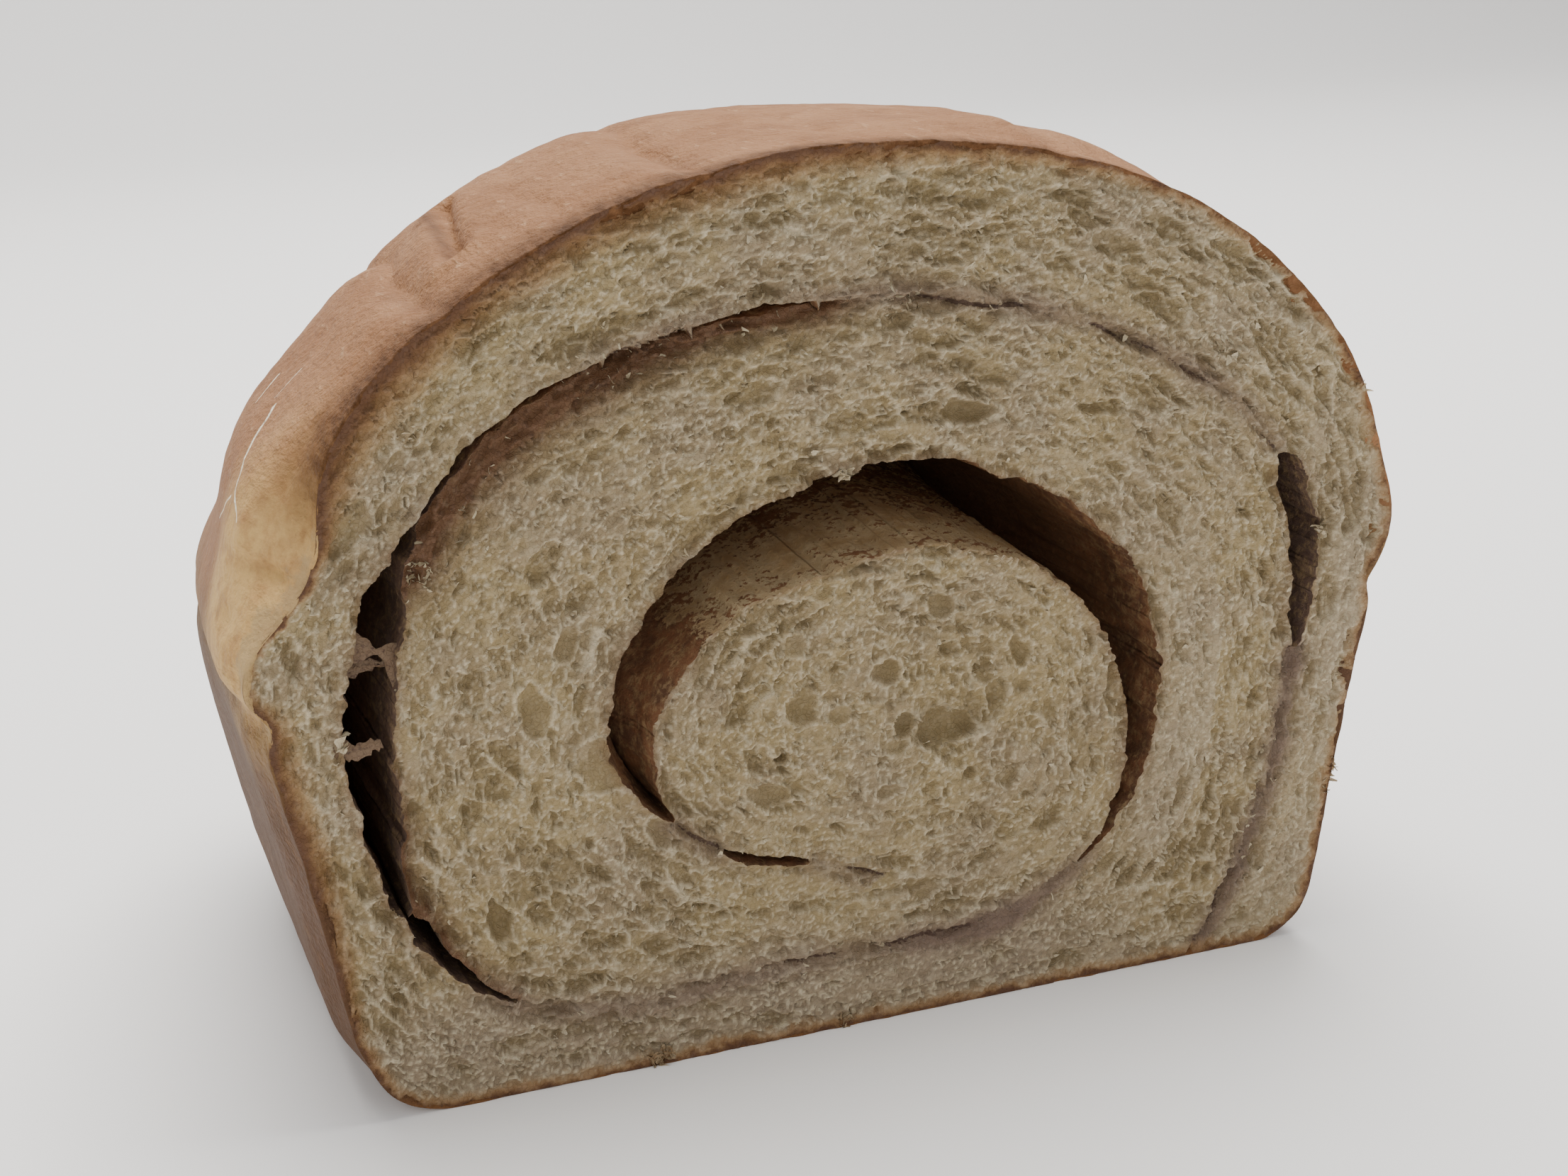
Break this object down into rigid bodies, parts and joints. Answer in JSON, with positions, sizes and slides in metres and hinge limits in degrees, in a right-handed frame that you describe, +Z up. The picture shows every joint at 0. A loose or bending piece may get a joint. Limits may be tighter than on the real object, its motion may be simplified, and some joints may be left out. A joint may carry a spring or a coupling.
{
  "type": "cut tin loaf with cinnamon swirl",
  "caption": "Half of a domed tin loaf, cut across, with a rolled cinnamon filling and hollows between the layers.",
  "frame": {"origin": "on the table under the centre of the loaf's box", "axes": "+Z up, the cut face looks along -Y, +X to the right as the cut face is seen"},
  "size_m": [0.1325, 0.1, 0.0996],
  "materials": {
    "crumb": "soft open crumb, slightly glossy cell walls, cream to pale beige",
    "crust": "thin baked crust, satin, tan to brown with a pale gold break at the shoulder",
    "cinnamon": "dark moist cinnamon sugar, speckled"
  },
  "bodies": {
    "root": {"bread": "crumb", "cinnamon_swirl": "cinnamon"}
  },
  "joints": []
}
